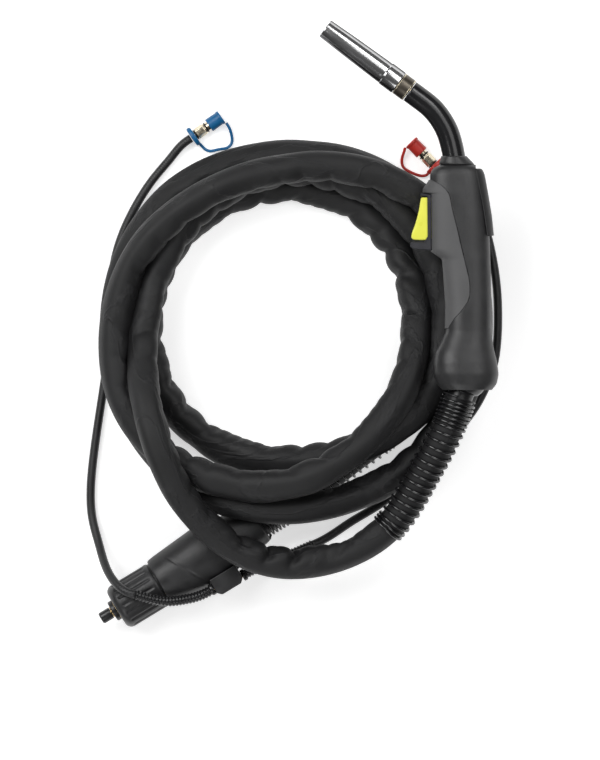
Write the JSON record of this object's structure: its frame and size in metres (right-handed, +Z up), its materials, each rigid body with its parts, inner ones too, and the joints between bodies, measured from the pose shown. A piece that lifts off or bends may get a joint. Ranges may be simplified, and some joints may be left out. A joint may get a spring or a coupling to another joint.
{
  "type": "water-cooled welding torch",
  "caption": "Water-cooled MIG welding torch: swan neck and gas nozzle on a handle with trigger, coiled hose package, machine adaptor and capped water hoses.",
  "frame": {"origin": "on the floor under the middle of the bounding box of torch, springs and adaptor, with the free hoses left out", "axes": "+X to the right of the layout, from coil to handle; +Y up the layout, along the handle towards the neck; +Z up from the floor"},
  "size_m": [0.4172, 0.6054, 0.1155],
  "materials": {
    "black_plastic": "fine matt moulded texture",
    "grey_soft_plastic": "soft-touch grip material",
    "dark_plastic": "smooth black",
    "hose_rubber": "smooth black hose",
    "textile_sheath": "woven black textile over rubber lines and cable",
    "yellow_plastic": "satin yellow moulding",
    "blue_plastic": "satin blue moulding",
    "red_plastic": "satin red moulding",
    "bright_chrome": "polished",
    "steel": "zinc plated",
    "black_spring_steel": "black spring wire",
    "brass": "turned brass",
    "copper": "turned copper",
    "dark_bronze": "dark turned metal"
  },
  "bodies": {
    "root": {"hose_package": "textile_sheath", "handle_spring": "black_spring_steel", "rear_spring": "black_spring_steel", "swivel_ball": "dark_plastic", "adaptor_housing_lower": "black_plastic", "adaptor_housing_upper": "black_plastic", "housing_screw_1": "steel", "housing_screw_2": "steel", "plug_body": "brass", "inlet_tube": "brass", "seal_ring": "brass", "water_block": "black_plastic", "blue_barb": "brass", "red_barb": "brass", "blue_hose_guard": "hose_rubber", "red_hose_guard": "hose_rubber", "blue_hose": "hose_rubber", "red_hose": "hose_rubber", "blue_coupling": "brass", "red_coupling": "brass", "blue_strap": "blue_plastic", "red_strap": "red_plastic"},
    "union_nut": {"union_nut": "black_plastic"},
    "pin_cap": {"pin_cap": "dark_plastic"},
    "blue_cap": {"blue_dust_cap": "blue_plastic"},
    "red_cap": {"red_dust_cap": "red_plastic"},
    "ball_cup": {"ball_cup": "dark_plastic"},
    "handle": {"handle_shell_lower": "black_plastic", "handle_shell_upper": "black_plastic", "grip_panel_lower": "grey_soft_plastic", "grip_panel_upper": "grey_soft_plastic", "back_strap": "black_plastic", "trigger_bezel": "black_plastic", "neck_collar": "black_plastic", "neck_block": "brass", "swan_neck_tube": "copper", "swan_neck_sleeve": "dark_plastic", "nozzle_insulator": "dark_bronze", "tip_holder": "brass", "contact_tip": "copper", "gas_diffuser": "dark_bronze", "trigger_pin": "steel", "trigger_spring": "steel", "microswitch": "dark_plastic", "torch_cable": "dark_plastic", "handle_screw_1": "steel", "handle_screw_2": "steel", "handle_screw_3": "steel"},
    "trigger": {"trigger": "yellow_plastic"},
    "switch_plunger": {"switch_plunger": "black_plastic"},
    "gas_nozzle": {"gas_nozzle": "bright_chrome"}
  },
  "joints": [
    {"name": "handle_swivel", "type": "hinge", "parent": "root", "child": "ball_cup", "pos_m": [0.16775, -0.0525, 0.088], "axis": [0, 0, -1], "range_deg": [0, 40]},
    {"name": "handle_pitch", "type": "hinge", "parent": "ball_cup", "child": "handle", "pos_m": [0.16775, -0.0525, 0.088], "axis": [1, 0, 0], "range_deg": [0, 10]},
    {"name": "trigger_pull", "type": "hinge", "parent": "handle", "child": "trigger", "pos_m": [0.13455, 0.1247, 0.088], "axis": [0, 0, 1], "range_deg": [0, 4], "stiffness_Nm_per_rad": 2, "springref_deg": -1.72},
    {"name": "plunger_slide", "type": "slide", "parent": "handle", "child": "switch_plunger", "axis": [1, 0, 0], "range_m": [0, 0.0022]},
    {"name": "nozzle_pull", "type": "slide", "parent": "handle", "child": "gas_nozzle", "axis": [-0.8028, 0.5962, 0], "range_m": [0, 0.095]},
    {"name": "union_nut_turn", "type": "hinge", "parent": "root", "child": "union_nut", "pos_m": [-0.13915, -0.2584, 0.0256], "axis": [-0.8554, -0.518, 0], "continuous": true},
    {"name": "pin_cap_pull", "type": "slide", "parent": "root", "child": "pin_cap", "axis": [-0.8554, -0.518, 0], "range_m": [0, 0.014]},
    {"name": "blue_cap_pull", "type": "slide", "parent": "root", "child": "blue_cap", "axis": [0.8192, 0.5736, 0], "range_m": [0, 0.014]},
    {"name": "red_cap_pull", "type": "slide", "parent": "root", "child": "red_cap", "axis": [-0.6997, 0.7145, 0], "range_m": [0, 0.014]}
  ],
  "couplings": [
    {"joint": "plunger_slide", "follows": "trigger_pull", "m_per_rad": 0.0302}
  ]
}
